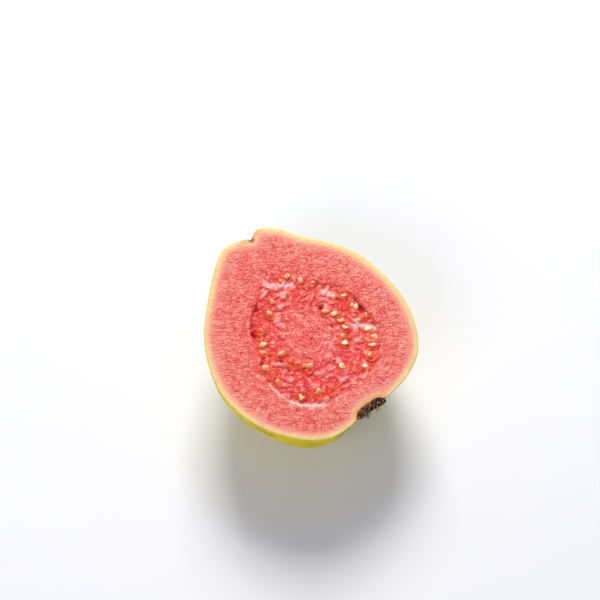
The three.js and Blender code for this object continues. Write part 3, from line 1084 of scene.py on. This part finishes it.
def skinMaterial():
    made, tree, shader = newMaterial("waxySkin")
    place = objectPlace(tree)
    blossomGap, stemGap, rimDepth = (attribute(tree, name) for name in ("blossomGap", "stemGap", "rimDepth"))
    broad = cloud(tree, place, skin["broadScale"], 3, 0.55, 0.6)
    mid = cloud(tree, place, skin["midScale"], 4, 0.62, 0.3)
    fine = cloud(tree, place, skin["fineScale"], 3, 0.65)
    patches = cloud(tree, place, skin["patchScale"], 4, 0.6, 0.8)
    scuffs = cloud(tree, place, skin["scuffScale"], 5, 0.7, 1.2)

    # mottled green with pale patches
    tone = mixTones(tree, (broad, 0.42), (mid, 0.36), (fine, 0.22))
    tint = ramp(tree, tone, [(0.4, skin["dark"]), (0.5, skin["green"]), (0.6, skin["light"])])
    patchy = fade(tree, mixTones(tree, (patches, 1.0), (mid, 0.3)), 0.64, 0.86, 0, 0.5)
    tint = blend(tree, patchy, tint, skin["pale"])

    # the riper side, and the yellow line under the rim, partly the skin's own hue and partly painted light on
    # the edge by the cut
    towardsSun = {0: place, 1: skin["sunSide"]}
    sun = addNode(tree, "ShaderNodeVectorMath", towardsSun, operation="DOT_PRODUCT").outputs["Value"]
    ripe = ramp(tree, tone, [(0.41, skin["olive"]), (0.49, skin["ochre"]), (0.57, skin["yellow"])])
    riper = fade(tree, mixTones(tree, (sun, 1.0), (broad, 5.0), (mid, 1.6)), 2.1, 4.7, 0, 0.85)
    tint = blend(tree, riper, tint, ripe)
    # painted light: the skin is yellower and brighter within a few millimetres of the rim, besides its own
    # yellow hue there
    clear = fade(tree, mixTones(tree, (rimDepth, 1.0), (broad, 4.0)), -3, 2, 0, 0.85)
    tint = blend(tree, clear, tint, skin["yellow"])

    # pale dots, scuffs, the scar of the stem and the corky ring round the calyx
    dots = fade(tree, cells(tree, place, skin["dotScale"]), 0.2, 0.1, 0, 0.5)
    tint = blend(tree, dots, tint, skin["fleck"])
    tint = blend(tree, fade(tree, scuffs, 0.6, 0.72, 0, 0.5), tint, skin["scuff"])
    scarred = fade(tree, mixTones(tree, (stemGap, 1.0), (mid, 4.0)), 6.2, 3.6)
    tint = blend(tree, scarred, tint, skin["scar"])
    corky = fade(tree, mixTones(tree, (blossomGap, 1.0), (mid, 6.0)), 13, 9, 0, 0.55)
    tint = blend(tree, corky, tint, skin["scuff"])
    height = mixTones(tree, (fine, 0.35), (mid, 1.1), (dots, 0.4))
    setInputs(tree, shader, {
        "Base Color": tint,
        "Roughness": fade(tree, mid, 0.3, 0.7, 0.42, 0.58),
        "Normal": bump(tree, height, 0.0005, 0.6),
        "IOR": 1.28,
        "Subsurface Weight": 0.08,
        "Subsurface Radius": (0.0012, 0.001, 0.0003),
        "Subsurface Scale": 1.0,
    })
    return made


seedLook = {
    "grainScale": 900,
    "cream": colour(252, 212, 182),
    "straw": colour(250, 200, 152),
    # film and soaked tones: pulp over the seed, with painted glow on its lower side and the side away from
    # the light
    "filmAndGlow": colour(248, 156, 96),
    "soakedAndGlow": colour(234, 76, 44),
}


def seedMaterial():
    made, tree, shader = newMaterial("wetSeed")
    place = objectPlace(tree)
    tone = attribute(tree, "seedTone")
    bareAndLit = attribute(tree, "seedBareAndLit")
    fine = cloud(tree, place, seedLook["grainScale"], 3, 0.6)
    tint = blend(tree, fade(tree, tone, 0.2, 1, 0, 0.7), seedLook["cream"], seedLook["straw"])
    # painted light: the seed's top and its side towards the light stay cream, and its lower side and the side
    # away from the light take a painted orange glow, besides the real pulp that covers it
    filmAndGlow = mixTones(tree, (bareAndLit, 1.0), (fine, 0.9))
    tint = blend(tree, fade(tree, filmAndGlow, 1.3, 0.75), tint, seedLook["filmAndGlow"])
    tint = blend(tree, fade(tree, filmAndGlow, 0.85, 0.3), tint, seedLook["soakedAndGlow"])
    setInputs(tree, shader, {
        "Base Color": tint,
        "Roughness": 0.4,
        "Normal": bump(tree, fine, 0.0003, 0.6),
        "IOR": 1.45,
        "Subsurface Weight": 0.4,
        "Subsurface Radius": (0.0014, 0.0007, 0.0004),
        "Subsurface Scale": 1.0,
        "Coat Weight": 0.45,
        "Coat Roughness": 0.14,
    })
    return made


dried = {
    "fineScale": 900,
    "broadScale": 320,
    "black": colour(30, 12, 8),
    "brown": colour(102, 54, 24),
    "tan": colour(158, 124, 98),
    "straw": colour(202, 182, 156),
}


def driedMaterial(name, lightness):
    made, tree, shader = newMaterial(name)
    place = objectPlace(tree)
    fine = cloud(tree, place, dried["fineScale"], 4, 0.7, 0.6)
    broad = cloud(tree, place, dried["broadScale"], 2)
    tone = mixTones(tree, (fine, 0.7), (broad, 0.5), (attribute(tree, "dryTone"), 0.34))
    tone = calc(tree, "ADD", tone, lightness)
    stops = [(0.56, dried["black"]), (0.7, dried["brown"]), (0.88, dried["tan"]), (1.0, dried["straw"])]
    tint = ramp(tree, tone, stops)
    setInputs(tree, shader, {
        "Base Color": tint,
        "Roughness": 0.8,
        "Normal": bump(tree, fine, 0.0003, 0.8),
        "Specular IOR Level": 0.3,
    })
    return made


room = {  # in metres and watts
    "floorSize": 3.0,
    "floorTint": colour(246, 246, 246),
    "worldTint": (0.95, 0.97, 1.2, 1),  # a little blue, against the yellow light off the skin
    "worldStrength": 0.24,
    "keyPower": 21,
    "keySize": 0.6,
    "keyFrom": (-0.9, 0.55, 1.0),
    "fillPower": 6,
    "fillSize": 0.9,
    "fillFrom": (0.5, -1.0, 0.9),
}


def buildRoom():
    bm = bmesh.new()
    bmesh.ops.create_grid(bm, x_segments=1, y_segments=1, size=room["floorSize"] / 2)
    floor = makePiece("floor", bm)
    made, tree, shader = newMaterial("paleFloor")
    setInputs(tree, shader, {"Base Color": room["floorTint"], "Roughness": 0.7})
    floor.data.materials.append(made)
    world = bpy.data.worlds.new("studio")
    world.use_nodes = True
    back = world.node_tree.nodes["Background"]
    back.inputs["Color"].default_value = room["worldTint"]
    back.inputs["Strength"].default_value = room["worldStrength"]
    bpy.context.scene.world = world
    for name in ("key", "fill"):
        light = bpy.data.lights.new(name, "AREA")
        light.energy = room[name + "Power"]
        light.size = room[name + "Size"]
        lamp = bpy.data.objects.new(name, light)
        lamp.location = room[name + "From"]
        lamp.rotation_euler = lamp.location.to_track_quat("Z", "Y").to_euler()
        bpy.context.scene.collection.objects.link(lamp)
    print("room: floor, pale world and two soft lights")


view = {
    "azimuth": 57.0,  # degrees round from the front, and over the floor
    "elevation": 66,
    "aim": (-9.48, 5.97, 37.5),  # millimetres
    "distance": 1224,
    "lens": 200,
    "sensor": 36,
}


def buildCamera():
    turn = math.radians(view["azimuth"])
    lift = math.radians(view["elevation"])
    away = Vector((math.sin(turn) * math.cos(lift), -math.cos(turn) * math.cos(lift), math.sin(lift)))
    lens = bpy.data.cameras.new("camera")
    lens.lens = view["lens"]
    lens.sensor_width = view["sensor"]
    camera = bpy.data.objects.new("camera", lens)
    camera.location = (Vector(view["aim"]) + away * view["distance"]) * mm
    camera.rotation_euler = away.to_track_quat("Z", "Y").to_euler()
    bpy.context.scene.collection.objects.link(camera)
    bpy.context.scene.camera = camera


buildCamera()
buildRoom()
bpy.context.scene.view_settings.view_transform = "Standard"

half = buildHalf()
half.data.materials.append(fleshMaterial())
half.data.materials.append(skinMaterial())
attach(half, "root")
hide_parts("guava_half")

seedPiece = buildSeeds()
seedPiece.data.materials.append(seedMaterial())
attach(seedPiece, "root")

calyxPiece = buildCalyx()
calyxPiece.data.materials.append(driedMaterial("driedBrown", 0.0))
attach(calyxPiece, "root")
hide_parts("calyx")

threadPiece = buildThreads()
threadPiece.data.materials.append(driedMaterial("driedThread", 0.08))
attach(threadPiece, "root")

bpy.context.view_layer.update()
